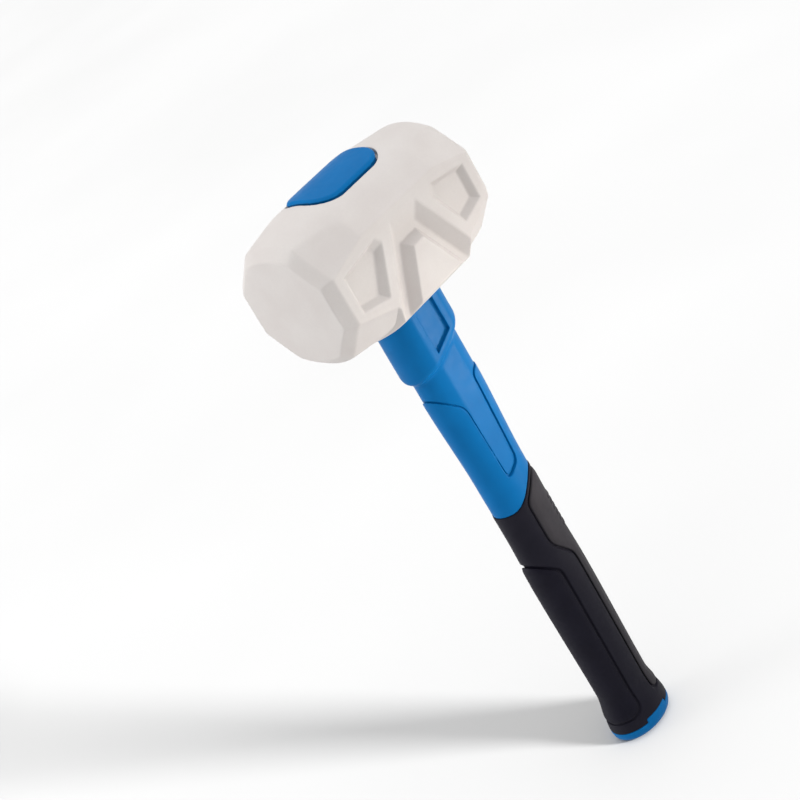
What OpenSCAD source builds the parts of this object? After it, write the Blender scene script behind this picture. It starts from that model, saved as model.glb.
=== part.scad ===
// Soft face hammer: a rubber mallet head on a moulded handle with a two-panel grip.
// The handle stands along Z with its butt at the origin, and the head strikes along X.

/* [Head] */
// Length of the head from face to face
head_len = 113; // [100:1:130]
// Width of the head across its flat sides
head_w = 69; // [62:1:80]
// Height of the head from crown to crown
head_h = 72; // [66:1:84]
// Radius of the arched crowns
crown_r = 45.4; // [40:0.2:60]
// Length of the straight barrel between the tapered ends
barrel_len = 52; // [50:1:60]
// How far each flat side draws in towards the rim
side_draw = 2; // [0.5:0.5:4]
// How far each crown draws in towards the rim
crown_draw = 3.5; // [0.5:0.5:6]
// Distance of the corner flats from the axis, where the barrel ends
corner_dist = 38.1; // [35:0.1:41]
// How far each corner flat draws in towards the rim
corner_draw = 6.3; // [3:0.1:8]
// Angle of the corner flats above the flat sides
corner_angle = 43; // [38:1:50]
// How much nearer the rim the corner flats start their taper and bevel
corner_lag = 0.6; // [0.4:0.1:1]
// Length of the bevel round each striking face
bevel_len = 5.5; // [3:0.5:8]
// Inset of the bevel round each striking face
bevel_in = 5; // [3:0.5:8]
// Height of the dome on each striking face
face_crown = 1.2; // [0.5:0.1:3]

/* [Side relief] */
// Depth of the channel that frames the middle of each side
channel_depth = 5.5; // [3:0.1:7]
// Height of the channel's top edge above the middle of the head
channel_top = 14.2; // [9:0.1:16]
// Width of the channel at its top edge
channel_w = 19.2; // [14:0.1:24]
// Sideways spread of the channel for each millimetre down
channel_spread = 0.51; // [0.4:0.01:0.6]
// Run of the channel's outer walls
channel_run = 6.2; // [4:0.1:7]
// Run of the channel's upper wall
channel_top_run = 10; // [6:0.1:11]
// Width of the channel's floor
channel_floor_w = 3; // [2:0.1:4]
// Run of the walls of the raised middle
island_run = 4; // [2.5:0.1:4.5]
// Width of the land between the channel and a pocket
land_w = 5.4; // [4:0.1:7]
// Depth of the pockets
pocket_depth = 4; // [2:0.1:5.5]
// Distance of a pocket's outer edge from the middle of the head
pocket_out = 45; // [42:0.5:47]
// Height of a pocket at its outer edge
pocket_h = 18.8; // [12:0.2:22]
// Rise of a pocket's upper and lower edges for each millimetre inwards
pocket_flare = 0.2; // [0.1:0.01:0.25]
// Height of the lower end of a pocket's cut corner
snip_z = 10.7; // [9:0.1:12]
// Width of a pocket's cut corner
snip_w = 3; // [1:0.1:5]
// Run of a pocket's walls
pocket_run = 2.8; // [1.5:0.1:3.5]
// Run of the wall at a pocket's cut corner
pocket_scoop = 6; // [3:0.1:7]

/* [Eye] */
// Length of the cap over the eye
cap_len = 45; // [42:0.2:49]
// Width of the cap over the eye
cap_w = 34; // [30:0.5:44]
// Corner radius of the cap
cap_corner = 12; // [8:0.5:15]
// Depth of the cap's seat below the crown
cap_seat = 3; // [2:0.1:5]
// Height of the cap above the crown
cap_rise = 1.4; // [0.8:0.1:2]
// Width and height of the step round the cap's edge
cap_step = 0.8; // [0.4:0.1:1]
// Open line round the cap
cap_gap = 0.6; // [0.2:0.05:0.8]
// Length of the tang through the eye
tang_len = 32; // [26:0.5:36]
// Thickness of the tang through the eye
tang_w = 19; // [17:0.5:23]
// Length of the cap's plug in the tang
plug_len = 20; // [14:0.5:22]
// Width of the cap's plug in the tang
plug_w = 9; // [6:0.5:10]
// Depth of the cap's plug in the tang
plug_depth = 9; // [5:0.5:14]
// Corner radius of the cap's plug
plug_corner = 2; // [1:0.1:3]

/* [Collar] */
// Length of the collar along X
collar_len = 40; // [37:0.5:44]
// Thickness of the collar between its flat sides
collar_w = 27; // [26:0.5:28]
// Radius of the collar's rounded front and back
collar_r = 14.2; // [14:0.1:18]
// Height of the collar's front below the head
collar_h = 34; // [30:0.5:45]
// How much higher the collar's shoulder is at the back
collar_rake = 17.6; // [10:0.2:22]
// Depth of the collar's seat in the underside of the head
collar_seat = 4; // [3:0.1:6]
// Radius of the collar's lower corners at its front and back
collar_round = 3.5; // [1:0.5:5]
// Width of the recess on each side of the collar
recess_w = 12; // [8:0.2:16]
// Depth of the recess on each side of the collar
recess_depth = 2.8; // [1.5:0.1:3.2]
// Height of the rim below the recess
recess_rim = 4; // [2.5:0.1:6]

/* [Handle] */
// Width of the butt along X
butt_w = 37.6; // [35:0.2:44]
// Thickness of the butt along Y
butt_t = 28.2; // [26:0.2:34]
// Height of the butt cap
butt_h = 6.5; // [6:0.1:11]
// Radius of the butt cap's lower edge
butt_round = 5; // [2:0.1:5.5]
// Width of the tabs on the sides of the butt cap
tab_w = 16; // [10:0.5:20]
// Height of the tabs on the sides of the butt cap
tab_h = 2.4; // [1:0.1:3]
// Length of the flare above the butt
flare_len = 22; // [18:0.5:30]
// Width of the handle above the flare
heel_w = 29.8; // [29:0.2:34]
// Thickness of the handle above the flare
heel_t = 23.6; // [23:0.2:26]
// Width of the handle in the palm
palm_w = 31.4; // [29:0.2:35]
// Thickness of the handle in the palm
palm_t = 24.4; // [23:0.2:27]
// Height of the widest place in the palm
palm_z = 99; // [80:1:110]
// Width of the handle at the waist near the top of the grip
waist_w = 30; // [28:0.2:33]
// Thickness of the handle at the waist near the top of the grip
waist_t = 22.8; // [22:0.2:25]
// Height of the waist below the grip's front edge
waist_down = 14; // [8:0.5:20]
// Width of the shaft at the throat above the grip
throat_w = 30.8; // [29:0.2:33]
// Thickness of the shaft at the throat above the grip
throat_t = 22.8; // [22:0.2:25]
// Height of the throat above the grip's front edge
throat_up = 17; // [10:0.5:25]
// Length of the shaft above the grip's front edge
shaft_len = 73; // [66:1:90]
// Width of the shaft at its top
shaft_w = 35; // [32:0.2:36]
// Thickness of the shaft at its top
shaft_t = 24.6; // [23:0.2:25]
// Length of the neck between the shaft and the collar's front
neck_len = 12; // [9:0.5:20]
// Depth of the neck and tongue below the shaft's surface
neck_drop = 0.6; // [0.3:0.1:1]
// Depth of the flats on the sides of the neck and tongue
neck_flat = 0.8; // [0.4:0.1:1.1]
// Rise of the neck's front edge for each millimetre forwards
neck_slant = 1.15; // [0.8:0.05:1.3]
// Width of the tongue at its tip
tongue_w = 10; // [8:0.2:13]
// Spread of each edge of the tongue from its tip to its top
tongue_spread = 1.9; // [0.5:0.1:3]
// Height of the tongue's tip above the grip's front edge
tongue_tip = 17.4; // [15:0.2:30]
// Rise of the tongue's tip from front to back
tongue_slant = 4.6; // [1:0.2:6]
// Height of the tongue's front corner below the top of the shaft
tongue_drop = 10.5; // [6:0.5:15]
// Width of the line round the tongue
line_w = 1.2; // [0.8:0.1:2]
// Depth of the line below the tongue
line_depth = 0.6; // [0.4:0.1:1]
// Diameter of the stiffening rod
rod_d = 10; // [8:0.5:11]
// Solid web between the rod and the cap's plug
rod_web = 2; // [1:0.5:10]

/* [Grip] */
// Length of the grip along its front
grip_len = 143; // [138:1:165]
// How much higher the grip's top is at the back
grip_rake = 13; // [8:0.5:14]
// Length of the slope across the grip's top
slope_len = 24; // [18:0.5:28]
// Thickness of the grip sleeve below the shaft's surface
sleeve_t = 3; // [2.4:0.1:3.2]
// Height of the grip sleeve above the shaft's surface
sleeve_rise = 0.4; // [0.1:0.1:0.8]
// Depth of the panels in the sleeve
pad_depth = 1.6; // [1:0.1:1.8]
// Height of the panels above the sleeve
pad_rise = 0.7; // [0.4:0.1:1.2]
// Width of the groove round the panels
groove_w = 1.1; // [1:0.1:2.2]
// Width of the band between the panels on each side
band_w = 11.6; // [9:0.2:14]
// Height of the finger panel's lower edge above the butt cap
finger_low = 7; // [5:0.2:14]
// Length of the finger panel along the band
finger_len = 96; // [70:1:98]
// Corner radius at the top of the finger panel
finger_top_r = 3; // [2:0.5:8]
// Corner radius at the bottom of the finger panel
finger_low_r = 8; // [4:0.5:10]
// Height of the palm panel's lower edge above the butt cap
palm_low = 10; // [7:0.2:16]
// Length of the palm panel's narrow part along the band
palm_len = 94; // [70:1:96]
// Length of the slope between the palm panel's narrow and wide parts
palm_slope = 13.5; // [10:0.5:16]
// Distance of the palm panel's wide part past the middle of the handle
palm_reach = 4.3; // [2:0.1:5]
// Distance of the palm panel's upper edge below the top of the sleeve
palm_margin = 3.4; // [2.5:0.1:6]
// Corner radius of the palm panel
palm_r = 3; // [2:0.5:5]
// Number of ribs across the palm panel
rib_count = 6; // [3:1:7]
// Distance between the ribs
rib_pitch = 3.5; // [2.5:0.1:3.6]
// Height of the ribs
rib_h = 0.4; // [0.3:0.1:0.8]
// Distance of the ribs behind the middle of the handle
rib_back = 10.4; // [6:0.2:12]

/* [Fits] */
// Clearance between pieces that slide together
fit = 0.15; // [0.1:0.05:0.3]

/* [Hidden] */

rubber_white = [0.88, 0.85, 0.83];
plastic_blue = [0.08, 0.46, 0.76];
grip_black = [0.20, 0.19, 0.20];
panel_black = [0.12, 0.11, 0.14];
rod_straw = [0.72, 0.66, 0.48];

// Heights up the handle
grip_front_z = butt_h + grip_len;
grip_back_z = grip_front_z + grip_rake;
waist_z = grip_front_z - waist_down;
throat_z = grip_front_z + throat_up;
shaft_top_z = grip_front_z + shaft_len;
collar_front_z = shaft_top_z + neck_len;
collar_back_z = collar_front_z + collar_rake;
head_low_z = collar_front_z + collar_h;
collar_top_z = head_low_z + collar_seat;
head_z = head_low_z + head_h / 2;

// Half sizes of the handle's oval section at the heights where it is set
stations = [
    [0, butt_w / 2, butt_t / 2],
    [butt_h, butt_w / 2, butt_t / 2],
    [butt_h + flare_len, heel_w / 2, heel_t / 2],
    [palm_z, palm_w / 2, palm_t / 2],
    [waist_z, waist_w / 2, waist_t / 2],
    [throat_z, throat_w / 2, throat_t / 2],
    [shaft_top_z, shaft_w / 2, shaft_t / 2],
    [collar_top_z, shaft_w / 2, shaft_t / 2],
];

// Head sizes that follow from the driving ones
rim_x = head_len / 2 - face_crown - bevel_len;
crown_drop = crown_r - head_h / 2;
face_half = head_w / 2 - side_draw - bevel_in;
face_r = (face_half * face_half + face_crown * face_crown) / (2 * face_crown);
side_angle = atan(side_draw / (rim_x - barrel_len / 2));
crown_axis_z = head_z - crown_drop;
cap_under_r = crown_r - cap_seat;
cap_top_r = crown_r + cap_rise;
plug_low_z = crown_axis_z + cap_under_r - plug_depth;

// How far a cut runs past a face
over = 1;
// Length of cutting blocks, larger than the whole hammer
reach = 2 * (head_z + head_h);
// Half width of outlines that cut across the handle
wide = butt_w + collar_len;
// Ends of the stiffening rod
rod_low_z = butt_h + flare_len / 2;
rod_top_z = plug_low_z - rod_web;
// Distance between the rings of the handle's surface
ring_step = 8;
// Points round the handle's surface
ring_points = 32;
// Points on each rounded corner of an outline
corner_steps = 5;
// Points on the slope of the grip's top
slope_steps = 12;
// Rings on the butt cap's rounded edge
round_steps = 4;
$fn = 96;

// Outlines in X and Z run anticlockwise, seen along +Y

function unit(v) = v / norm(v);

// Outward normal of the edge that leaves point i
function edge_normal(p, i) =
    let (d = unit(p[(i + 1) % len(p)] - p[i]))
    [d[1], -d[0]];

// Corner i of an outline whose edges move outwards by the distances in d
function shifted_corner(p, d, i) =
    let (
        h = (i + len(p) - 1) % len(p),
        n1 = edge_normal(p, h),
        n2 = edge_normal(p, i),
        c1 = n1 * p[i] + d[h],
        c2 = n2 * p[i] + d[i],
        det = n1[0] * n2[1] - n1[1] * n2[0]
    )
    [(c1 * n2[1] - c2 * n1[1]) / det, (n1[0] * c2 - n2[0] * c1) / det];

function shifted(p, d) = [for (i = [0:len(p) - 1]) shifted_corner(p, d, i)];

function grown(p, distance) = shifted(p, [for (q = p) distance]);

// Points on the arc that rounds corner b between a and c
function corner_arc(a, b, c, r) =
    let (
        u = unit(a - b),
        v = unit(c - b),
        half = acos(u * v) / 2,
        centre = b + unit(u + v) * r / sin(half),
        start = b + u * r / tan(half) - centre,
        turn = (180 - 2 * half) * sign(u[1] * v[0] - u[0] * v[1])
    )
    [for (k = [0:corner_steps])
        let (t = turn * k / corner_steps)
        centre + [start[0] * cos(t) - start[1] * sin(t), start[0] * sin(t) + start[1] * cos(t)]];

// Outline with corner i rounded by radius r[i], where 0 keeps the corner sharp
function rounded(p, r) =
    let (n = len(p))
    [for (i = [0:n - 1])
        each (r[i] == 0 ? [p[i]] : corner_arc(p[(i + n - 1) % n], p[i], p[(i + 1) % n], r[i]))];

// Oval with flat sides and round ends
module flat_oval(length, width, end_r) {
    middle = length / 2 - end_r;
    intersection() {
        square([length, width], center = true);
        union() {
            square([2 * middle, width], center = true);
            for (s = [-1, 1])
                translate([s * middle, 0])
                    circle(r = end_r);
        }
    }
}

module round_rect(length, width, r) {
    square([length - 2 * r, width], center = true);
    square([length, width - 2 * r], center = true);
    for (sx = [-1, 1], sy = [-1, 1])
        translate([sx * (length / 2 - r), sy * (width / 2 - r)])
            circle(r = r);
}

// Side view drawn in X and Z, carried right through along Y
module through_y() {
    translate([0, reach / 2, 0])
        rotate([90, 0, 0])
            linear_extrude(height = reach)
                children();
}

// Half height of a head surface along X: bevel, taper, straight barrel, taper, bevel
function taper_line(middle, draw, lag) =
    let (
        rim = middle - draw,
        end = rim - bevel_in * (head_len / 2 - rim_x - lag) / bevel_len,
        right = [[barrel_len / 2 + lag, middle], [rim_x + lag, rim], [head_len / 2, end]]
    )
    concat([for (i = [2:-1:0]) [-right[i][0], right[i][1]]], right);

// Space between two opposite flats, turned about X
module flat_pair(middle, draw, lag, angle) {
    line = taper_line(middle, draw, lag);
    rotate([angle, 0, 0])
        linear_extrude(height = reach, center = true)
            polygon(concat([for (p = line) [p[0], -p[1]]], [for (i = [len(line) - 1:-1:0]) line[i]]));
}

// Space under the upper arched crown
module crown_space() {
    line = taper_line(crown_r, crown_draw, 0);
    translate([0, 0, -crown_drop])
        rotate([0, 90, 0])
            rotate_extrude()
                polygon(concat(
                    [[0, -head_len / 2]],
                    [for (p = line) [p[1], p[0]]],
                    [[0, head_len / 2]]
                ));
}

// Space behind the domed striking face at -X
module face_space() {
    translate([face_r - head_len / 2, 0, 0])
        sphere(r = face_r);
}

module head_blank() {
    intersection() {
        flat_pair(head_w / 2, side_draw, 0, 0);
        flat_pair(corner_dist, corner_draw, corner_lag, corner_angle);
        flat_pair(corner_dist, corner_draw, corner_lag, -corner_angle);
        crown_space();
        mirror([0, 0, 1])
            crown_space();
        face_space();
        mirror([1, 0, 0])
            face_space();
    }
}

// Block with sloping walls, sunk in the plane of X and Z: mouth in the plane, floor at depth along Y
module drafted(mouth, floor, depth) {
    n = len(mouth);
    outer = [for (i = [0:n - 1]) mouth[i] + (mouth[i] - floor[i]) * over / depth];
    points = concat([for (p = outer) [p[0], -over, p[1]]], [for (p = floor) [p[0], depth, p[1]]]);
    walls = [for (i = [0:n - 1]) let (j = (i + 1) % n) each [[i, j, j + n], [i, j + n, i + n]]];
    polyhedron(points, concat([[for (i = [n - 1:-1:0]) i]], [[for (i = [0:n - 1]) i + n]], walls));
}

// Half width of the channel's mouth at a height on the head
function channel_half(z) = channel_w / 2 + (channel_top - z) * channel_spread;

// Three-sided channel round a raised middle, open below the head
module channel_cut() {
    mouth = [
        [-channel_half(-head_h), -head_h],
        [channel_half(-head_h), -head_h],
        [channel_half(channel_top), channel_top],
        [-channel_half(channel_top), channel_top],
    ];
    floor = shifted(mouth, [0, -channel_run, -channel_top_run, -channel_run]);
    base = shifted(floor, [0, -channel_floor_w, -channel_floor_w, -channel_floor_w]);
    crest = shifted(base, [0, -island_run, -island_run, -island_run]);
    difference() {
        drafted(mouth, floor, channel_depth);
        drafted(crest, base, channel_depth);
    }
}

// Pocket in the tapered part of the side, on the +X half
module pocket_cut() {
    inner_x = channel_half(0) + land_w * norm([1, channel_spread]);
    low_z = -(pocket_h / 2 + pocket_flare * (pocket_out - inner_x)) / (1 + pocket_flare * channel_spread);
    snip_x = inner_x - snip_z * channel_spread;
    top_x = snip_x + snip_w;
    mouth = [
        [pocket_out, -pocket_h / 2],
        [pocket_out, pocket_h / 2],
        [top_x, pocket_h / 2 + pocket_flare * (pocket_out - top_x)],
        [snip_x, snip_z],
        [inner_x - low_z * channel_spread, low_z],
    ];
    floor = shifted(mouth, [-pocket_run, -pocket_run, -pocket_scoop, -pocket_run, -pocket_run]);
    translate([barrel_len / 2, 0, 0])
        rotate([0, 0, side_angle])
            translate([-barrel_len / 2, 0, 0])
                drafted(mouth, floor, pocket_depth);
}

// Channel and pockets on the -Y side of the head
module side_relief() {
    translate([0, -head_w / 2, 0]) {
        channel_cut();
        pocket_cut();
        mirror([1, 0, 0])
            pocket_cut();
    }
}

// Long round bar along X that follows the crown
module crown_bar(r) {
    translate([0, 0, crown_axis_z])
        rotate([0, 90, 0])
            cylinder(r = r, h = reach, center = true);
}

module head() {
    color(rubber_white)
        difference() {
            translate([0, 0, head_z])
                difference() {
                    head_blank();
                    side_relief();
                    mirror([0, 1, 0])
                        side_relief();
                }
            translate([0, 0, head_low_z - over])
                linear_extrude(height = head_h + 2 * over)
                    flat_oval(tang_len + 2 * fit, tang_w + 2 * fit, tang_w / 2 + fit);
            translate([0, 0, head_low_z - over])
                linear_extrude(height = collar_seat + over)
                    flat_oval(collar_len + 2 * fit, collar_w + 2 * fit, collar_r + fit);
            difference() {
                translate([0, 0, head_z])
                    linear_extrude(height = head_h)
                        round_rect(cap_len + 2 * cap_gap, cap_w + 2 * cap_gap, cap_corner + cap_gap);
                crown_bar(cap_under_r);
            }
        }
}

// Curved plate of the cap between two radii
module cap_plate(inset, outer_r) {
    intersection() {
        translate([0, 0, head_z])
            linear_extrude(height = head_h)
                round_rect(cap_len - 2 * inset, cap_w - 2 * inset, cap_corner - inset);
        difference() {
            crown_bar(outer_r);
            crown_bar(cap_under_r);
        }
    }
}

module eye_cap() {
    color(plastic_blue) {
        cap_plate(0, cap_top_r - cap_step);
        cap_plate(cap_step, cap_top_r);
        translate([0, 0, plug_low_z])
            linear_extrude(height = plug_depth + cap_seat / 2)
                round_rect(plug_len, plug_w, plug_corner);
    }
}

function ease(t) = t * t * (3 - 2 * t);

// Number of the station below a height
function span_at(z, i = 0) = i == len(stations) - 2 || z < stations[i + 1][0] ? i : span_at(z, i + 1);

// Half sizes of the handle's section at a height, blended between the stations
function half_at(z) =
    let (
        low = stations[span_at(z)],
        high = stations[span_at(z) + 1],
        t = ease(min(1, max(0, (z - low[0]) / (high[0] - low[0]))))
    )
    [low[1] + (high[1] - low[1]) * t, low[2] + (high[2] - low[2]) * t];

function ring_heights(low, high) = concat(
    [low],
    [for (k = [floor(low / ring_step) + 1:1:ceil(high / ring_step) - 1]) k * ring_step],
    [high]
);

// Rings of a surface that lies at a distance from the handle's surface
function skin(low, high, distance) =
    [for (z = ring_heights(low, high)) concat([z], half_at(z) + [distance, distance])];

// Closed oval form through rings, each a height and two half sizes, with its sides cut flat to a depth
module loft(rings, flat = 0) {
    n = ring_points;
    last = n * (len(rings) - 1);
    points = [for (r = rings, i = [0:n - 1])
        let (side = r[2] - flat)
        [r[1] * cos(360 * i / n), max(-side, min(side, r[2] * sin(360 * i / n))), r[0]]];
    walls = [for (k = [0:n:last - n], i = [0:n - 1])
        let (j = (i + 1) % n)
        each [[k + i, k + n + i, k + n + j], [k + i, k + n + j, k + j]]];
    polyhedron(points, concat([[for (i = [0:n - 1]) i]], [[for (i = [n - 1:-1:0]) last + i]], walls));
}

// Top edge of the grip from back to front, raised by a distance
function grip_edge(raise) =
    [for (k = [slope_steps:-1:0])
        let (t = k / slope_steps)
        [slope_len * (t - 0.5), grip_front_z + grip_rake * ease(t) + raise]];

module below_grip_edge() {
    through_y()
        polygon(concat(
            [[-wide, grip_front_z], [-wide, -over], [wide, -over], [wide, grip_back_z]],
            grip_edge(0)
        ));
}

module above_grip_edge() {
    edge = grip_edge(fit);
    through_y()
        polygon(concat(
            [[wide, grip_back_z + fit], [wide, reach], [-wide, reach], [-wide, grip_front_z + fit]],
            [for (i = [len(edge) - 1:-1:0]) edge[i]]
        ));
}

// Neck and tongue in side view, with every edge moved outwards by a distance
module neck_outline(distance) {
    tip_z = grip_front_z + tongue_tip;
    tip_x = tongue_w / 2;
    top_x = tip_x + tongue_spread;
    corner_z = shaft_top_z - tongue_drop;
    corners = [
        [-wide, reach],
        [-wide, corner_z + (wide - top_x) * neck_slant],
        [-top_x, corner_z],
        [-tip_x, tip_z],
        [tip_x, tip_z + tongue_slant],
        [top_x, shaft_top_z],
        [wide, shaft_top_z],
        [wide, reach],
    ];
    polygon(rounded(grown(corners, distance), [0, 0, tip_x, tip_x / 2, tip_x / 2, tip_x, 0, 0]));
}

// Collar with its raked shoulder
module collar() {
    corners = [
        [-collar_len / 2, collar_front_z],
        [collar_len / 2, collar_back_z],
        [collar_len / 2, collar_top_z],
        [-collar_len / 2, collar_top_z],
    ];
    intersection() {
        linear_extrude(height = collar_top_z)
            flat_oval(collar_len, collar_w, collar_r);
        through_y()
            polygon(rounded(corners, [collar_round, collar_round, 0, 0]));
    }
}

// Recess on both flat sides of the collar, parallel to the shoulder below it
module collar_recess() {
    middle_z = (collar_front_z + collar_back_z) / 2 + recess_rim;
    half_rise = collar_rake / collar_len * recess_w / 2;
    difference() {
        through_y()
            polygon([
                [-recess_w / 2, middle_z - half_rise],
                [recess_w / 2, middle_z + half_rise],
                [recess_w / 2, collar_top_z],
                [-recess_w / 2, collar_top_z],
            ]);
        cube([reach, collar_w - 2 * recess_depth, 2 * reach], center = true);
    }
}

module tang() {
    intersection() {
        translate([0, 0, collar_top_z - over])
            linear_extrude(height = head_h)
                flat_oval(tang_len, tang_w, tang_w / 2);
        crown_bar(cap_under_r - fit);
    }
}

// Shaft, neck and tongue above the grip, parted by a sunk line
module shaft() {
    neck_top_z = collar_back_z + over;
    intersection() {
        above_grip_edge();
        union() {
            loft(skin(grip_front_z, neck_top_z, -neck_drop - line_depth), neck_flat);
            intersection() {
                loft(skin(throat_z - over, neck_top_z, -neck_drop), neck_flat);
                through_y()
                    neck_outline(-line_w / 2);
            }
            difference() {
                loft(skin(grip_front_z, neck_top_z, 0));
                through_y()
                    neck_outline(line_w / 2);
            }
        }
    }
}

module handle_body() {
    color(plastic_blue)
        difference() {
            union() {
                tang();
                collar();
                shaft();
                loft(skin(butt_h, throat_z, -sleeve_t));
            }
            collar_recess();
            translate([0, 0, butt_h - over])
                cylinder(d = rod_d + 2 * fit, h = rod_top_z + fit - butt_h + over);
            translate([0, 0, plug_low_z - fit])
                linear_extrude(height = head_h)
                    round_rect(plug_len + 2 * fit, plug_w + 2 * fit, plug_corner + fit);
        }
}

module core_rod() {
    color(rod_straw)
        translate([0, 0, rod_low_z])
            cylinder(d = rod_d, h = rod_top_z - rod_low_z);
}

// Finger panel in side view, with a 45 degree upper edge, grown by a distance
module finger_outline(distance) {
    low_z = butt_h + finger_low;
    edge_x = -band_w / 2 - groove_w;
    corners = [
        [edge_x, low_z],
        [edge_x, low_z + finger_len],
        [-wide, low_z + finger_len + wide + edge_x],
        [-wide, low_z],
    ];
    polygon(rounded(grown(corners, distance), [finger_low_r, finger_top_r, 0, 0]));
}

// Palm panel in side view, grown by a distance
module palm_outline(distance) {
    low_z = butt_h + palm_low;
    edge_x = band_w / 2 + groove_w;
    narrow_z = low_z + palm_len;
    wide_x = groove_w - palm_reach;
    corners = [
        [wide, low_z],
        [wide, grip_back_z - palm_margin],
        [slope_len / 2, grip_back_z - palm_margin],
        [wide_x, grip_front_z + grip_rake * ease(wide_x / slope_len + 0.5) - palm_margin - groove_w],
        [wide_x, narrow_z + palm_slope],
        [edge_x, narrow_z],
        [edge_x, low_z],
    ];
    polygon(rounded(grown(corners, distance), [0, 0, palm_r, palm_r, palm_r, palm_r, palm_r]));
}

// Upright strips where the tabs of the butt cap rise beside the core, grown by a distance
module tab_strip(distance) {
    through_y()
        translate([-tab_w / 2 - distance, butt_h - over])
            square([tab_w + 2 * distance, tab_h + over + distance]);
}

module grip_sleeve() {
    color(grip_black)
        difference() {
            intersection() {
                loft(skin(butt_h, grip_back_z + over, sleeve_rise));
                below_grip_edge();
            }
            difference() {
                through_y() {
                    finger_outline(groove_w);
                    palm_outline(groove_w);
                }
                loft(skin(0, grip_back_z + 2 * over, sleeve_rise - pad_depth));
            }
            tab_strip(fit);
            loft(skin(butt_h - over, grip_back_z + 2 * over, fit - sleeve_t));
        }
}

// Skin of a panel between two heights, trimmed to the side view given
module panel(low, high, raise) {
    intersection() {
        through_y()
            children();
        difference() {
            loft(skin(low, high, sleeve_rise + raise));
            loft(skin(low - over, high + over, sleeve_rise - pad_depth + fit));
        }
    }
}

module finger_pad() {
    low_z = butt_h + finger_low;
    color(panel_black)
        panel(low_z - over, low_z + finger_len + palm_w, pad_rise)
            finger_outline(0);
}

module palm_pad() {
    low_z = butt_h + palm_low;
    ribs_z = low_z + palm_len + palm_slope;
    color(panel_black) {
        panel(low_z - over, grip_back_z, pad_rise)
            palm_outline(0);
        panel(ribs_z - over, ribs_z + rib_count * rib_pitch, pad_rise + rib_h)
            for (i = [0:rib_count - 1])
                translate([rib_back, ribs_z + i * rib_pitch])
                    square([wide, rib_pitch / 2]);
    }
}

// Rings of the butt cap, from its flat base up its rounded edge
function butt_rings() =
    let (half = [butt_w / 2, butt_t / 2] + [sleeve_rise, sleeve_rise])
    concat(
        [for (k = [0:round_steps])
            let (t = 90 * k / round_steps, inset = butt_round * (1 - sin(t)))
            concat([butt_round * (1 - cos(t))], half - [inset, inset])],
        [concat([butt_h], half)]
    );

module butt_cap() {
    color(plastic_blue) {
        loft(butt_rings());
        translate([0, 0, butt_h - over])
            cylinder(d = rod_d, h = rod_low_z - fit - butt_h + over);
        intersection() {
            tab_strip(0);
            difference() {
                loft(skin(butt_h - over, butt_h + tab_h + over, sleeve_rise));
                loft(skin(butt_h, butt_h + tab_h + 2 * over, fit - sleeve_t));
            }
        }
    }
}

head();
eye_cap();
handle_body();
core_rod();
grip_sleeve();
finger_pad();
palm_pad();
butt_cap();
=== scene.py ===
import math

import bpy
import numpy as np
from mathutils import Matrix, Vector


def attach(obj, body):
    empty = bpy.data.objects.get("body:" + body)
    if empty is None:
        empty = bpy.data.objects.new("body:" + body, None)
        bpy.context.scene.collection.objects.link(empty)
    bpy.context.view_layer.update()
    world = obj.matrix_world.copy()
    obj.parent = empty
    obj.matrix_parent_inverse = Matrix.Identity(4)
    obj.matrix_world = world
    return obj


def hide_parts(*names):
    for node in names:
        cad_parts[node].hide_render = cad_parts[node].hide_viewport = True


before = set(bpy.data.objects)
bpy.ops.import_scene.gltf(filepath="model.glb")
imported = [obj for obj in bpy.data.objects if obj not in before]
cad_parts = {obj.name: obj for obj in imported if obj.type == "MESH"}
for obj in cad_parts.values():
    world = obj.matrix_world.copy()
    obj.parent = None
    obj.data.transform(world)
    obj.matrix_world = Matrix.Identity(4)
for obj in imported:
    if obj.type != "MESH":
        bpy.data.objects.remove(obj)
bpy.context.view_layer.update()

# Sizes of the part are in millimetres, in its own frame: Z up the handle, X along the striking axis
MM = 0.001

# Widths over which edges are rounded, from crisp to soft
EDGE_CRISP = 0.3
EDGE_FINE = 0.4
EDGE = 0.5
EDGE_SOFT = 0.6
EDGE_RUBBER = 0.7

# Clearance between pieces, and how far forms of one piece run into each other
FIT = 0.15
OVERLAP = 1.0

# Head
HEAD_LEN = 113.0
HEAD_W = 69.0
HEAD_H = 72.0
HEAD_Z = 304.5
CROWN_R = 45.4
BARREL_LEN = 52.0
SIDE_DRAW = 2.0
CROWN_DRAW = 3.5
CORNER_DIST = 38.1
CORNER_DRAW = 6.3
CORNER_ANGLE = math.radians(43)
CORNER_LAG = 0.6
BEVEL_LEN = 5.5
BEVEL_IN = 5.0
FACE_CROWN = 1.2
RIM_X = HEAD_LEN / 2 - FACE_CROWN - BEVEL_LEN
CROWN_DROP = CROWN_R - HEAD_H / 2
FACE_HALF = HEAD_W / 2 - SIDE_DRAW - BEVEL_IN
FACE_R = (FACE_HALF ** 2 + FACE_CROWN ** 2) / (2 * FACE_CROWN)
# Fuller lower corners in the middle of the head
BELLY_END = 28.0
BELLY_FALL = 1.15
BELLY_R = 62.4
BELLY_TOP = -12.0

# Relief on the sides of the head
CHANNEL_DEPTH = 5.5
CHANNEL_TOP = 14.2
CHANNEL_W = 19.2
CHANNEL_SPREAD = 0.51
CHANNEL_RUN = 6.2
CHANNEL_TOP_RUN = 10.0
CHANNEL_FLOOR_W = 3.0
ISLAND_RUN = 3.7
LAND_W = 5.4
POCKET_DEPTH = 4.0
POCKET_OUT = 45.0
POCKET_H = 18.8
POCKET_FLARE = 0.2
SNIP_Z = 10.7
SNIP_W = 3.0
POCKET_RUN = 2.8
POCKET_SCOOP = 6.0

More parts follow.
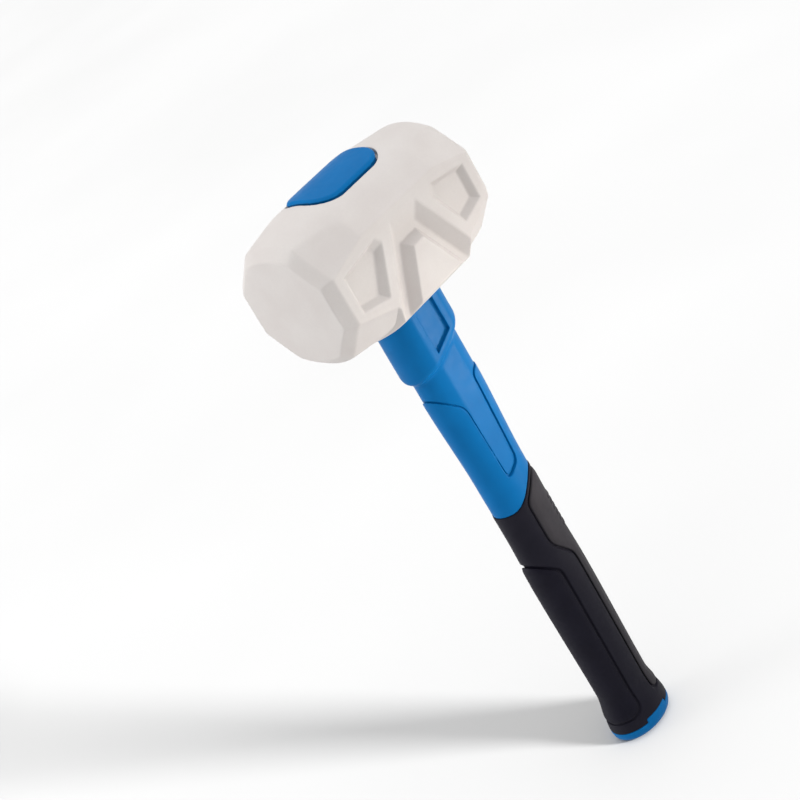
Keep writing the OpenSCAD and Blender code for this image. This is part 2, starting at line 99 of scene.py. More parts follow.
# Eye and its cap
CAP_LEN = 45.0
CAP_W = 34.0
CAP_CORNER = 12.0
CAP_SEAT = 3.0
CAP_RISE = 1.4
CAP_UNDER_R = CROWN_R - CAP_SEAT
CAP_TOP_R = CROWN_R + CAP_RISE
CAP_CHAMFER = 1.2
CAP_GAP = 0.8
CAP_UNDERCUT = 0.7
CAP_LIP = 0.4
TANG_LEN = 32.0
TANG_W = 19.0
PLUG_LEN = 20.0
PLUG_W = 9.0
PLUG_CORNER = 2.0
PLUG_DEPTH = 9.0
CROWN_AXIS_Z = HEAD_Z - CROWN_DROP
PLUG_LOW_Z = CROWN_AXIS_Z + CAP_UNDER_R - PLUG_DEPTH

# Collar
COLLAR_LEN = 40.0
COLLAR_W = 27.0
COLLAR_R = 14.2
COLLAR_FRONT_Z = 234.5
COLLAR_BACK_Z = 250.4
COLLAR_TOP_Z = 272.5
RECESS_W = 13.0
RECESS_DEPTH = 1.7
RECESS_RIM = 4.0
SHOULDER_ROUND = 3.2
SHOULDER_FILLET = 4.5

# Handle
BUTT_H = 6.5
BUTT_ROUND = 5.0
# Blend width that gives the butt's lower edge about that radius
BUTT_BLEND = 1.17 * BUTT_ROUND
TAB_W = 16.0
TAB_H = 2.4
TAB_CORNER = 1.0
GRIP_FRONT_Z = 149.5
GRIP_RAKE = 13.0
GRIP_BACK_Z = GRIP_FRONT_Z + GRIP_RAKE
SLOPE_LEN = 24.0
# Share of a height above the grip's sloping edge that is its distance from the edge
GRIP_EDGE_LEAN = 0.85
SHAFT_TOP_Z = 222.5
# Height, half width and half thickness of the handle's oval sections
STATIONS = (
    (0.0, 18.8, 14.1),
    (BUTT_H, 18.8, 14.1),
    (28.5, 14.9, 11.8),
    (99.0, 15.7, 12.2),
    (135.5, 15.0, 11.4),
    (166.5, 15.4, 11.4),
    (SHAFT_TOP_Z, 17.5, 12.3),
    (COLLAR_TOP_Z, 17.5, 12.3),
)
NECK_DROP = 0.6
NECK_FLAT = 0.8
NECK_SLANT = 1.15
TONGUE_W = 10.0
TONGUE_SPREAD = 1.9
TONGUE_TIP = 17.4
TONGUE_SLANT = 4.6
TONGUE_DROP = 10.5
TONGUE_CORNER = 3.5
NECK_FRONT_CORNER = 2.5
NECK_BACK_CORNER = 4.0
LINE_HALF = 0.35
LINE_DEPTH = 0.5
ROD_R = 5.0
ROD_LOW_Z = 17.5
ROD_COVER = 2.0
ROD_TOP_Z = PLUG_LOW_Z - ROD_COVER
CORE_OVERLAP = 4.0

# Grip
SLEEVE_T = 3.0
SLEEVE_RISE = 0.4
PAD_DEPTH = 1.1
PAD_RISE = 0.7
PAD_BEVEL = 1.8
PAD_BEVEL_DROP = 0.7
PAD_CORNER = 2.2
GROOVE_W = 1.1
BAND_W = 11.6
FINGER_LOW_Z = 13.5
FINGER_LEN = 96.0
FINGER_LOW_CORNER = 9.0
PALM_LOW_Z = 16.5
PALM_LEN = 94.0
PALM_SLOPE = 13.5
PALM_REACH = 4.3
PALM_MARGIN = 3.4
PALM_LOW_CORNER = 5.0
PALM_TOP_CORNER = 3.0
RIB_COUNT = 6
RIB_PITCH = 3.5
RIB_H = 0.4
RIB_BACK = 10.4
RIB_RUN = 1.2
RIB_SHARPNESS = 0.9
# Shares of a rib's pitch: fade at both ends of the row, smooth tail after its last rib, and shift of the ribs
RIB_FADE = 0.2
RIB_TAIL = 0.4
RIB_SHIFT = 0.25


# Fields are negative inside a form and close to the distance in millimetres near its surface

def smax(a, b, k):
    """Greater of two fields, with the edge between them rounded over a width k."""
    blend = np.maximum(k - np.abs(a - b), 0.0) / k
    return np.maximum(a, b) + blend * blend * k / 4


def smin(a, b, k):
    """Lesser of two fields, with the corner between them filled over a width k."""
    return -smax(-a, -b, k)


def smax_all(k, *fields):
    """Greatest of several fields, rounded pair by pair."""
    result = fields[0]
    for f in fields[1:]:
        result = smax(result, f, k)
    return result


def ease(t):
    """Smooth step from 0 to 1."""
    t = np.clip(t, 0.0, 1.0)
    return t * t * (3 - 2 * t)


def fade(value, width):
    """Smooth step from 0 to 1 over a width, half way where the value is zero."""
    return ease(value / width + 0.5)


def hypot(a, b):
    """Length of a vector with two parts, kept off zero."""
    return np.sqrt(a * a + b * b + 1e-12)


def line_field(u, v, a, b):
    """Signed distance from the line through a and b, negative to the left of it."""
    du, dv = b[0] - a[0], b[1] - a[1]
    return ((u - a[0]) * dv - (v - a[1]) * du) / math.hypot(du, dv)


def round_rect(u, v, length, width, r):
    """Rectangle with rounded corners."""
    a = np.abs(u) - (length / 2 - r)
    b = np.abs(v) - (width / 2 - r)
    return hypot(np.maximum(a, 0), np.maximum(b, 0)) + np.minimum(np.maximum(a, b), 0) - r


def flat_oval(u, v, length, width, end_r, k):
    """Oval with flat sides and round ends."""
    ends = hypot(np.maximum(np.abs(u) - (length / 2 - end_r), 0), v) - end_r
    return smax(ends, np.abs(v) - width / 2, k)


# Handle surface

def half_at(z):
    """Half sizes of the handle's oval section at a height."""
    heights = np.array([s[0] for s in STATIONS])
    span = np.clip(np.searchsorted(heights, z, side="right") - 1, 0, len(STATIONS) - 2)
    t = ease((z - heights[span]) / (heights[span + 1] - heights[span]))
    halves = []
    for part in (1, 2):
        size = np.array([s[part] for s in STATIONS])
        halves.append(size[span] + (size[span + 1] - size[span]) * t)
    return halves


def skin(x, y, z, distance=0.0):
    """Handle's oval surface, moved outwards by a distance."""
    a, b = half_at(z)
    a, b = a + distance, b + distance
    k0 = hypot(x / a, y / b)
    k1 = hypot(x / (a * a), y / (b * b))
    return k0 * (k0 - 1) / k1


def grip_edge(x):
    """Height of the grip's top edge."""
    return GRIP_FRONT_Z + GRIP_RAKE * fade(x, SLOPE_LEN)


# Outlines seen from the side, in X and Z

def neck_outline(x, z):
    """Neck and tongue, negative inside."""
    tip_z = GRIP_FRONT_Z + TONGUE_TIP
    tip_x = TONGUE_W / 2
    top_x = tip_x + TONGUE_SPREAD
    corner_z = SHAFT_TOP_Z - TONGUE_DROP
    left = line_field(x, z, (-top_x, corner_z), (-tip_x, tip_z))
    right = line_field(x, z, (tip_x, tip_z + TONGUE_SLANT), (top_x, SHAFT_TOP_Z))
    tip = line_field(x, z, (-tip_x, tip_z), (tip_x, tip_z + TONGUE_SLANT))
    tongue = smax_all(TONGUE_CORNER, left, right, tip)
    front = (corner_z - (top_x + x) * NECK_SLANT - z) / math.hypot(1, NECK_SLANT)
    back = SHAFT_TOP_Z - z
    with_front = smin(tongue, np.maximum(front, x), NECK_FRONT_CORNER)
    return smin(with_front, np.maximum(back, -x), NECK_BACK_CORNER)


def finger_outline(x, z):
    """Finger panel, negative inside."""
    edge_x = -BAND_W / 2 - GROOVE_W
    top = (z - FINGER_LOW_Z - FINGER_LEN + x - edge_x) / math.sqrt(2)
    return smax(smax(x - edge_x, top, PAD_CORNER), FINGER_LOW_Z - z, FINGER_LOW_CORNER)


def palm_outline(x, z):
    """Palm panel, negative inside."""
    edge_x = BAND_W / 2 + GROOVE_W
    narrow_z = PALM_LOW_Z + PALM_LEN
    wide_x = GROOVE_W - PALM_REACH
    slope = line_field(x, z, (wide_x, narrow_z + PALM_SLOPE), (edge_x, narrow_z))
    upper = smax(wide_x - x, slope, PAD_CORNER)
    left = smin(edge_x - x, upper, PAD_CORNER)
    top = (z - grip_edge(x) + PALM_MARGIN) * GRIP_EDGE_LEAN
    return smax(smax(left, PALM_LOW_Z - z, PALM_LOW_CORNER), top, PALM_TOP_CORNER)


# Head

def tapered(along, distance, middle, draw, lag):
    """Straight barrel, taper and bevel of one of the head's surfaces."""
    rim = middle - draw
    slope = draw / (RIM_X - BARREL_LEN / 2)
    bevel = BEVEL_IN / BEVEL_LEN
    straight = distance - middle
    taper = (distance - middle + slope * (along - BARREL_LEN / 2 - lag)) / math.hypot(1, slope)
    rim_cut = (distance - rim + bevel * (along - RIM_X - lag)) / math.hypot(1, bevel)
    return smax(smax(straight, taper, EDGE_CRISP), rim_cut, EDGE)


def head_blank(x, y, z):
    """Head before its relief and eye are cut, with z from the middle of the head."""
    ax, ay, az = np.abs(x), np.abs(y), np.abs(z)
    sides = tapered(ax, ay, HEAD_W / 2, SIDE_DRAW, 0.0)
    across = ay * math.cos(CORNER_ANGLE) + az * math.sin(CORNER_ANGLE)
    corners = tapered(ax, across, CORNER_DIST, CORNER_DRAW, CORNER_LAG)
    crown = tapered(ax, hypot(ay, az + CROWN_DROP), CROWN_R, CROWN_DRAW, 0.0)
    faces = np.sqrt((ax + FACE_R - HEAD_LEN / 2) ** 2 + y * y + z * z) - FACE_R
    return smax_all(EDGE, sides, corners, crown, faces)


def head_belly(x, y, z):
    """Fuller lower corners of the head between its tapers, with z from the middle of the head."""
    ax, ay = np.abs(x), np.abs(y)
    sides = tapered(ax, ay, HEAD_W / 2, SIDE_DRAW, 0.0)
    under = tapered(ax, hypot(ay, z + HEAD_H / 2 - BELLY_R), BELLY_R, CROWN_DRAW, 0.0)
    across = ay * math.cos(CORNER_ANGLE) - z * math.sin(CORNER_ANGLE)
    ends = (across - CORNER_DIST + BELLY_FALL * (ax - BELLY_END)) / math.hypot(1, BELLY_FALL)
    inside = np.maximum(z - BELLY_TOP, ax - RIM_X + BEVEL_LEN)
    return np.maximum(smax_all(EDGE, sides, under, ends), inside)


def wall(inset, sunk, depth, run):
    """Sloping wall of a sunk form: inset from the mouth's edge, sunk below the mouth."""
    slope = depth / run
    return (sunk - slope * inset) / math.hypot(1, slope)


def channel_half(z):
    """Half width of the channel's mouth at a height."""
    return CHANNEL_W / 2 + (CHANNEL_TOP - z) * CHANNEL_SPREAD


def channel_cut(x, y, z):
    """Three-sided channel round a raised middle."""
    sunk = HEAD_W / 2 - np.abs(y)
    from_side = (channel_half(z) - np.abs(x)) / math.hypot(1, CHANNEL_SPREAD)
    from_top = CHANNEL_TOP - z
    sides = wall(from_side, sunk, CHANNEL_DEPTH, CHANNEL_RUN)
    top = wall(from_top, sunk, CHANNEL_DEPTH, CHANNEL_TOP_RUN)
    cut = smax_all(EDGE_SOFT, sides, top, sunk - CHANNEL_DEPTH)
    base_side = from_side - CHANNEL_RUN - CHANNEL_FLOOR_W
    base_top = from_top - CHANNEL_TOP_RUN - CHANNEL_FLOOR_W
    slope = CHANNEL_DEPTH / ISLAND_RUN
    island_side = (CHANNEL_DEPTH - slope * base_side - sunk) / math.hypot(1, slope)
    island_top = (CHANNEL_DEPTH - slope * base_top - sunk) / math.hypot(1, slope)
    return smax(cut, -smax(island_side, island_top, EDGE_SOFT), EDGE_SOFT)


def pocket_cut(x, y, z):
    """Pocket in the tapered part of each side."""
    ax = np.abs(x)
    slope = SIDE_DRAW / (RIM_X - BARREL_LEN / 2)
    sunk = (HEAD_W / 2 - slope * (ax - BARREL_LEN / 2) - np.abs(y)) / math.hypot(1, slope)
    inner_x = channel_half(0.0) + LAND_W * math.hypot(1, CHANNEL_SPREAD)
    inner_half = POCKET_H / 2 + POCKET_FLARE * (POCKET_OUT - inner_x)
    low_z = -inner_half / (1 + POCKET_FLARE * CHANNEL_SPREAD)
    snip_x = inner_x - SNIP_Z * CHANNEL_SPREAD
    top_x = snip_x + SNIP_W
    mouth = (
        (POCKET_OUT, -POCKET_H / 2),
        (POCKET_OUT, POCKET_H / 2),
        (top_x, POCKET_H / 2 + POCKET_FLARE * (POCKET_OUT - top_x)),
        (snip_x, SNIP_Z),
        (inner_x - low_z * CHANNEL_SPREAD, low_z),
    )
    runs = (POCKET_RUN, POCKET_RUN, POCKET_SCOOP, POCKET_RUN, POCKET_RUN)
    cut = sunk - POCKET_DEPTH
    for i, run in enumerate(runs):
        inset = -line_field(ax, z, mouth[i], mouth[(i + 1) % len(mouth)])
        cut = smax(cut, wall(inset, sunk, POCKET_DEPTH, run), EDGE_SOFT)
    return cut


def head_field(x, y, z):
    """White rubber head."""
    zz = z - HEAD_Z
    body = np.minimum(head_blank(x, y, zz), head_belly(x, y, zz))
    body = smax(body, -channel_cut(x, y, zz), EDGE_SOFT)
    body = smax(body, -pocket_cut(x, y, zz), EDGE_SOFT)
    crown = hypot(y, z - CROWN_AXIS_Z)
    rebate = np.maximum(
        round_rect(x, y, CAP_LEN + 2 * CAP_GAP, CAP_W + 2 * CAP_GAP, CAP_CORNER + CAP_GAP),
        np.maximum(CAP_UNDER_R - crown, HEAD_Z - z),
    )
    body = smax(body, -rebate, EDGE_SOFT)
    eye = flat_oval(x, y, TANG_LEN + 2 * FIT, TANG_W + 2 * FIT, TANG_W / 2 + FIT, EDGE_CRISP)
    seat = np.maximum(
        flat_oval(x, y, COLLAR_LEN + 2 * FIT, COLLAR_W + 2 * FIT, COLLAR_R + FIT, EDGE_SOFT),
        z - COLLAR_TOP_Z,
    )
    return smax(body, -np.minimum(eye, seat), EDGE)


# Blue pieces

def cap_field(x, y, z):
    """Curved cap over the eye, undercut below its lip, with its plug."""
    crown = hypot(y, z - CROWN_AXIS_Z)
    outline = round_rect(x, y, CAP_LEN, CAP_W, CAP_CORNER)
    top = crown - CAP_TOP_R
    chamfer = (outline + top + CAP_CHAMFER) / math.sqrt(2)
    side = outline + CAP_UNDERCUT * fade(CROWN_R - crown, CAP_LIP)
    plate = smax_all(EDGE_FINE, side, top, chamfer, CAP_UNDER_R + FIT - crown, HEAD_Z - z)
    plug = np.maximum(
        round_rect(x, y, PLUG_LEN, PLUG_W, PLUG_CORNER),
        np.maximum(PLUG_LOW_Z - z, crown - CROWN_R),
    )
    return np.minimum(plate, plug)


def shoulder_line(x):
    """Height of the collar's raked shoulder."""
    return (COLLAR_FRONT_Z + COLLAR_BACK_Z) / 2 + (COLLAR_BACK_Z - COLLAR_FRONT_Z) * x / COLLAR_LEN


def above_shoulder(x, z):
    """Distance above the collar's raked shoulder."""
    tilt = math.hypot(1, (COLLAR_BACK_Z - COLLAR_FRONT_Z) / COLLAR_LEN)
    return (z - shoulder_line(x)) / tilt


def collar_field(x, y, z):
    """Collar under the head."""
    section = flat_oval(x, y, COLLAR_LEN, COLLAR_W, COLLAR_R, EDGE_FINE)
    body = smax(section, -above_shoulder(x, z), SHOULDER_ROUND)
    return smax(body, z - COLLAR_TOP_Z, EDGE)


def recess_field(x, y, z):
    """Recess on both flat sides of the collar, parallel to its shoulder."""
    floor = COLLAR_W / 2 - RECESS_DEPTH - np.abs(y)
    return smax_all(EDGE_FINE, np.abs(x) - RECESS_W / 2, RECESS_RIM - above_shoulder(x, z), floor)


def shaft_field(x, y, z):
    """Shaft and neck, parted by a sunk line."""
    outline = neck_outline(x, z)
    surface = skin(x, y, z)
    neck = smax(surface, np.abs(y) - half_at(z)[1] + NECK_FLAT, EDGE_CRISP) + NECK_DROP
    outer = smax(surface, LINE_HALF - outline, EDGE)
    inner = smax(neck, outline + LINE_HALF, EDGE_CRISP)
    surface = np.minimum(outer, np.minimum(inner, neck + LINE_DEPTH))
    below_edge = (grip_edge(x) + FIT - z) * GRIP_EDGE_LEAN
    return smax_all(EDGE, surface, below_edge, z - COLLAR_BACK_Z - OVERLAP)


def handle_field(x, y, z):
    """Blue handle with its core inside the grip."""
    crown = hypot(y, z - CROWN_AXIS_Z)
    tang = np.maximum(
        flat_oval(x, y, TANG_LEN, TANG_W, TANG_W / 2, EDGE_CRISP),
        np.maximum(COLLAR_TOP_Z - OVERLAP - z, crown - CAP_UNDER_R + FIT),
    )
    core = np.maximum(
        skin(x, y, z, -SLEEVE_T),
        np.maximum(BUTT_H + FIT - z, z - GRIP_BACK_Z - CORE_OVERLAP),
    )
    body = smin(shaft_field(x, y, z), collar_field(x, y, z), SHOULDER_FILLET)
    body = smax(body, -recess_field(x, y, z), EDGE_FINE)
    body = np.minimum(np.minimum(body, tang), core)
    bore = np.maximum(hypot(x, y) - ROD_R - FIT, z - ROD_TOP_Z - FIT)
    slot = np.maximum(
        round_rect(x, y, PLUG_LEN + 2 * FIT, PLUG_W + 2 * FIT, PLUG_CORNER + FIT),
        PLUG_LOW_Z - FIT - z,
    )
    return np.maximum(body, -np.minimum(bore, slot))


def tab_strip(x, z, grow):
    """Upright strip where a tab of the butt cap rises."""
    return smax(np.abs(x) - TAB_W / 2 - grow, z - BUTT_H - TAB_H - grow, TAB_CORNER)


def butt_field(x, y, z):
    """Butt cap with tabs on its sides and a peg in the core."""
    outer = skin(x, y, np.minimum(z, BUTT_H), SLEEVE_RISE)
    plate = smax(smax(outer, -z, BUTT_BLEND), z - BUTT_H, EDGE)
    foot = BUTT_H - OVERLAP - z
    peg = np.maximum(hypot(x, y) - ROD_R, np.maximum(foot, z - ROD_LOW_Z + FIT))
    inner = skin(x, y, z, FIT - SLEEVE_T)
    tab = smax_all(EDGE_SOFT, tab_strip(x, z, 0.0), skin(x, y, z, SLEEVE_RISE), -inner, foot)
    return np.minimum(np.minimum(plate, tab), peg)


# Grip

def sleeve_field(x, y, z):
    """Black sleeve with recesses for the two panels."""
    outer = skin(x, y, z, SLEEVE_RISE)
    body = smax_all(EDGE_RUBBER, outer, (z - grip_edge(x)) * GRIP_EDGE_LEAN, BUTT_H + FIT - z)
    panels = np.minimum(finger_outline(x, z), palm_outline(x, z)) - GROOVE_W
    recess = smax(panels, -(outer + PAD_DEPTH), EDGE)
    body = smax(body, -recess, EDGE_RUBBER)
    inner = skin(x, y, z, FIT - SLEEVE_T)
    tabs = np.maximum(tab_strip(x, z, FIT), -inner)
    return np.maximum(np.maximum(body, -inner), -tabs)


def panel_field(x, y, z, outline, extra):
    """Raised panel with a bevelled edge inside its outline."""
    outer = skin(x, y, z, SLEEVE_RISE)
    top = outer - PAD_RISE - extra
    slope = PAD_BEVEL_DROP / PAD_BEVEL
    bevel = (top + PAD_BEVEL_DROP + slope * outline) / math.hypot(1, slope)
    body = smax(smax(top, bevel, EDGE_SOFT), outline, EDGE_RUBBER)
    return smax(body, -(outer + PAD_DEPTH - FIT), EDGE_FINE)


def finger_field(x, y, z):
    """Finger panel."""
    return panel_field(x, y, z, finger_outline(x, z), 0.0)


def palm_field(x, y, z):
    """Palm panel with small ribs across its back."""
    ribs_z = PALM_LOW_Z + PALM_LEN + PALM_SLOPE
    phase = (z - ribs_z) / RIB_PITCH
    row = fade(phase, RIB_FADE) * fade(RIB_COUNT - RIB_TAIL - phase, RIB_FADE)
    on = row * fade(x - RIB_BACK, RIB_RUN)
    ribs = RIB_H * on * ease(np.cos(2 * math.pi * (phase - RIB_SHIFT)) * RIB_SHARPNESS + 0.5)
    return panel_field(x, y, z, palm_outline(x, z), ribs)


# Meshes

def steps(*stops):
    """Places of grid lines along an axis: stops are a start and then pairs of an end and a step."""
    values = [stops[0]]
    for end, step in zip(stops[1::2], stops[2::2]):
        count = max(1, round((end - values[-1]) / step))
        values.extend(np.linspace(values[-1], end, count + 1)[1:])
    return np.array(values)


# Corners of a grid cell, and the pairs of them that an edge joins
CORNERS = np.array([(i, j, k) for i in (0, 1) for j in (0, 1) for k in (0, 1)])
PAIRS = [(a, b) for a in range(8) for b in range(a + 1, 8)]
CELL_EDGES = [(a, b) for a, b in PAIRS if np.abs(CORNERS[a] - CORNERS[b]).sum() == 1]
# Pull of a cell's point towards the middle of its crossings
EDGE_PULL = 0.08
# Share of the way from a quad's corner to its centre where the corner's normal is taken
NORMAL_INSET = 0.35
# Share of the grid's smallest step that a settling point may move, and the least squared slope it relies on
SETTLE_REACH = 0.25
LEAST_SLOPE = 0.05


def gradient(field, p, step=0.02):
    """Direction of steepest rise of a field at points."""
    parts = []
    for axis in range(3):
        shift = np.zeros(3)
        shift[axis] = step
        ahead, behind = (p + shift).T, (p - shift).T
        parts.append((field(*ahead) - field(*behind)) / (2 * step))
    return np.stack(parts, axis=1)


def unit(v):
    """Vectors scaled to length 1."""
    return v / np.maximum(np.linalg.norm(v, axis=1, keepdims=True), 1e-9)


def settle(field, p, reach, rounds=2):
    """Points moved onto the surface where the field is zero."""
    for _ in range(rounds):
        g = gradient(field, p)
        move = (field(*p.T) / np.maximum((g * g).sum(axis=1), LEAST_SLOPE))[:, None] * g
        length = np.maximum(np.linalg.norm(move, axis=1, keepdims=True), 1e-9)
        p = p - move * np.minimum(1.0, reach / length)
    return p


def crossings(axes, value, cells):
    """For each edge of the grid cells: which cells it crosses the surface in, and where."""
    for a, b in CELL_EDGES:
        va = value[tuple((cells + CORNERS[a]).T)]
        vb = value[tuple((cells + CORNERS[b]).T)]
        cross = np.flatnonzero((va < 0) != (vb < 0))
        ends = []
        for corner in (a, b):
            index = cells[cross] + CORNERS[corner]
            ends.append(np.stack([axes[i][index[:, i]] for i in range(3)], axis=1))
        t = (va[cross] / (va[cross] - vb[cross]))[:, None]
        yield cross, ends[0] + t * (ends[1] - ends[0])


def cell_points(field, axes, value, cells):
    """One point in each cell, on any edge or corner that the surface has there."""
    found = list(crossings(axes, value, cells))
    middle = np.zeros((len(cells), 3))
    hits = np.zeros((len(cells), 1))
    for cross, p in found:
        middle[cross] += p
        hits[cross] += 1
    middle /= hits
    matrix = np.zeros((len(cells), 3, 3)) + EDGE_PULL * np.eye(3)
    right = np.zeros((len(cells), 3))
    for cross, p in found:
        n = unit(gradient(field, p))
        matrix[cross] += n[:, :, None] * n[:, None, :]
        right[cross] += n * (n * (p - middle[cross])).sum(axis=1, keepdims=True)
    p = middle + np.linalg.solve(matrix, right[:, :, None])[:, :, 0]
    low = np.stack([axes[i][cells[:, i]] for i in range(3)], axis=1)
    high = np.stack([axes[i][cells[:, i] + 1] for i in range(3)], axis=1)
    p = np.clip(p, low, high)
    return settle(field, p, SETTLE_REACH * np.min(high - low))


def cell_quads(inside, number):
    """Quads between the points of the cells round each crossed grid edge."""
    quads = []
    for a in range(3):
        b, c = (a + 1) % 3, (a + 2) % 3
        lower = np.moveaxis(inside, a, 0)[:-1]
        upper = np.moveaxis(inside, a, 0)[1:]
        where = np.argwhere(lower != upper)
        index = np.empty_like(where)
        index[:, [a] + [i for i in range(3) if i != a]] = where
        step_b, step_c = np.eye(3, dtype=int)[b], np.eye(3, dtype=int)[c]
        ring = (index - step_b - step_c, index - step_c, index, index - step_b)
        quad = np.stack([number[tuple(r.T)] for r in ring], axis=1)
        outward = lower[tuple(where.T)]
        quads.append(np.where(outward[:, None], quad, quad[:, ::-1]))
    return np.concatenate(quads)


def corner_normals(field, points, quads):
    """Normals at the corners of quads, taken a little way in from each corner."""
    corners = points[quads]
    centres = corners.mean(axis=1, keepdims=True)
    p = corners + NORMAL_INSET * (centres - corners)
    return unit(gradient(field, p.reshape(-1, 3)))


def contour(field, axes):
    """Quads over the surface where a field is zero on a grid: points, quads and corner normals."""
    value = field(*np.ix_(*axes))
    inside = value < 0
    n = np.array(value.shape) - 1
    count = sum(inside[i:i + n[0], j:j + n[1], k:k + n[2]].astype(np.uint8) for i, j, k in CORNERS)
    cells = np.argwhere((count > 0) & (count < len(CORNERS)))
    number = np.full(n, -1, dtype=np.int64)
    number[tuple(cells.T)] = np.arange(len(cells))
    points = cell_points(field, axes, value, cells)
    quads = cell_quads(inside, number)
    return points, quads, corner_normals(field, points, quads)


def mesh_piece(name, field, axes, material, node):
    """Builds one piece from its field on a grid, in place of a CAD node."""
    points, quads, normals = contour(field, axes)
    mesh = bpy.data.meshes.new(name)
    mesh.vertices.add(len(points))
    mesh.vertices.foreach_set("co", (points * MM).ravel())
    mesh.loops.add(quads.size)
    mesh.loops.foreach_set("vertex_index", quads.ravel())
    mesh.polygons.add(len(quads))
    mesh.polygons.foreach_set("loop_start", np.arange(0, quads.size, 4))
    mesh.update(calc_edges=True)
    mesh.shade_smooth()
    mesh.normals_split_custom_set(normals)
    mesh.materials.append(material)
    piece = bpy.data.objects.new(name, mesh)
    bpy.context.scene.collection.objects.link(piece)
    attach(piece, "root")
    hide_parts(node)


# Materials

RUBBER_DARK = (0.540, 0.505, 0.488)
RUBBER_LIGHT = (0.570, 0.540, 0.522)
RUBBER_SPECK = (0.460, 0.430, 0.415)
BLUE_DARK = (0.0009, 0.118, 0.336)
BLUE_LIGHT = (0.0014, 0.128, 0.360)
GRIP_DARK = (0.0055, 0.0050, 0.0110)
GRIP_LIGHT = (0.0080, 0.0073, 0.0140)
# Finger panel's black, painted darker than the band's black as painted shade
FINGER_SHADED_DARK = (0.0035, 0.0030, 0.0085)
FINGER_SHADED_LIGHT = (0.0050, 0.0044, 0.0110)
# Palm panel's black, painted lighter grey than the band's black as painted light from the right
PALM_LIT_DARK = (0.0300, 0.0275, 0.0320)
PALM_LIT_LIGHT = (0.0350, 0.0320, 0.0375)
FIBRE_DARK = (0.40, 0.34, 0.17)
FIBRE_LIGHT = (0.56, 0.48, 0.27)
FLOOR_DARK = (0.430, 0.430, 0.430)
FLOOR_LIGHT = (0.445, 0.445, 0.445)


class Nodes:
    """Small helper that adds nodes to one material."""

    def __init__(self, name):
        self.material = bpy.data.materials.new(name)
        self.material.use_nodes = True
        self.tree = self.material.node_tree
        self.shader = self.tree.nodes["Principled BSDF"]
        self.place = self.add("ShaderNodeTexCoord").outputs["Object"]

    def add(self, kind):
        """New node of a kind."""
        return self.tree.nodes.new(kind)

    def link(self, a, b):
        """Joins an output to an input."""
        self.tree.links.new(a, b)

    def feed(self, output, name):
        """Joins an output to one of the shader's inputs."""
        self.link(output, self.shader.inputs[name])

    def fix(self, name, value):
        """Sets one of the shader's inputs to a constant."""
        self.shader.inputs[name].default_value = value

    def noise(self, scale, detail=3.0):
        """Noise over the object, with features of about one metre divided by the scale."""
        node = self.add("ShaderNodeTexNoise")
        node.inputs["Scale"].default_value = scale
        node.inputs["Detail"].default_value = detail
        self.link(self.place, node.inputs["Vector"])
        return node.outputs["Fac"]

    def ramp(self, value, low, high, first=0.0, last=1.0):
        """Value stretched from the range low to high onto the range first to last."""
        node = self.add("ShaderNodeMapRange")
        node.inputs["From Min"].default_value = low
        node.inputs["From Max"].default_value = high
        node.inputs["To Min"].default_value = first
        node.inputs["To Max"].default_value = last
        self.link(value, node.inputs["Value"])
        return node.outputs["Result"]

    def mix(self, factor, first, last):
        """Blend of two colours, each given as a tuple or by another node."""
        node = self.add("ShaderNodeMix")
        node.data_type = "RGBA"
        for socket, colour in ((node.inputs[6], first), (node.inputs[7], last)):
            if isinstance(colour, tuple):
                socket.default_value = (*colour, 1.0)
            else:
                self.link(colour, socket)
        self.link(factor, node.inputs[0])
        return node.outputs[2]

    def bump(self, height, distance, strength=1.0, normal=None):
        """Fine relief of a depth in metres, laid over another one if given."""
        node = self.add("ShaderNodeBump")
        node.inputs["Distance"].default_value = distance
        node.inputs["Strength"].default_value = strength
        self.link(height, node.inputs["Height"])
        if normal is not None:
            self.link(normal, node.inputs["Normal"])
        return node.outputs["Normal"]


def rubber_material():
    """Matt off-white rubber with faint clouding and a fine moulded skin."""
    n = Nodes("white_rubber")
    cloud = n.ramp(n.noise(scale=45.0, detail=4.0), low=0.35, high=0.65)
    speck = n.ramp(n.noise(scale=900.0, detail=2.0), low=0.3, high=0.7)
    base = n.mix(cloud, RUBBER_DARK, RUBBER_LIGHT)
    n.feed(n.mix(n.ramp(speck, low=0.0, high=1.0, last=0.12), base, RUBBER_SPECK), "Base Color")
    n.feed(n.ramp(cloud, low=0.0, high=1.0, first=0.62, last=0.72), "Roughness")
    n.fix("Specular IOR Level", 0.3)
    grain = n.bump(n.noise(scale=1400.0), distance=0.00004, strength=0.5)
    n.feed(n.bump(n.noise(scale=120.0, detail=2.0), distance=0.00008, strength=0.4, normal=grain), "Normal")
    return n.material


def blue_material():
    """Blue moulded plastic with a satin skin."""
    n = Nodes("blue_plastic")
    cloud = n.ramp(n.noise(scale=70.0), low=0.35, high=0.65)
    n.feed(n.mix(cloud, BLUE_DARK, BLUE_LIGHT), "Base Color")
    n.feed(n.ramp(n.noise(scale=260.0), low=0.3, high=0.7, first=0.36, last=0.46), "Roughness")
    n.fix("Specular IOR Level", 0.06)
    n.feed(n.bump(n.noise(scale=2200.0, detail=2.0), distance=0.00003, strength=0.4), "Normal")
    return n.material


def soft_black_material(name, dark, light, rough):
    """Black soft plastic with a fine matt grain."""
    n = Nodes(name)
    cloud = n.ramp(n.noise(scale=80.0, detail=4.0), low=0.35, high=0.65)
    n.feed(n.mix(cloud, dark, light), "Base Color")
    patches = n.noise(scale=500.0)
    n.feed(n.ramp(patches, low=0.3, high=0.7, first=rough - 0.05, last=rough + 0.05), "Roughness")
    n.fix("Specular IOR Level", 0.12)
    n.feed(n.bump(n.noise(scale=2600.0), distance=0.00006, strength=0.6), "Normal")
    return n.material


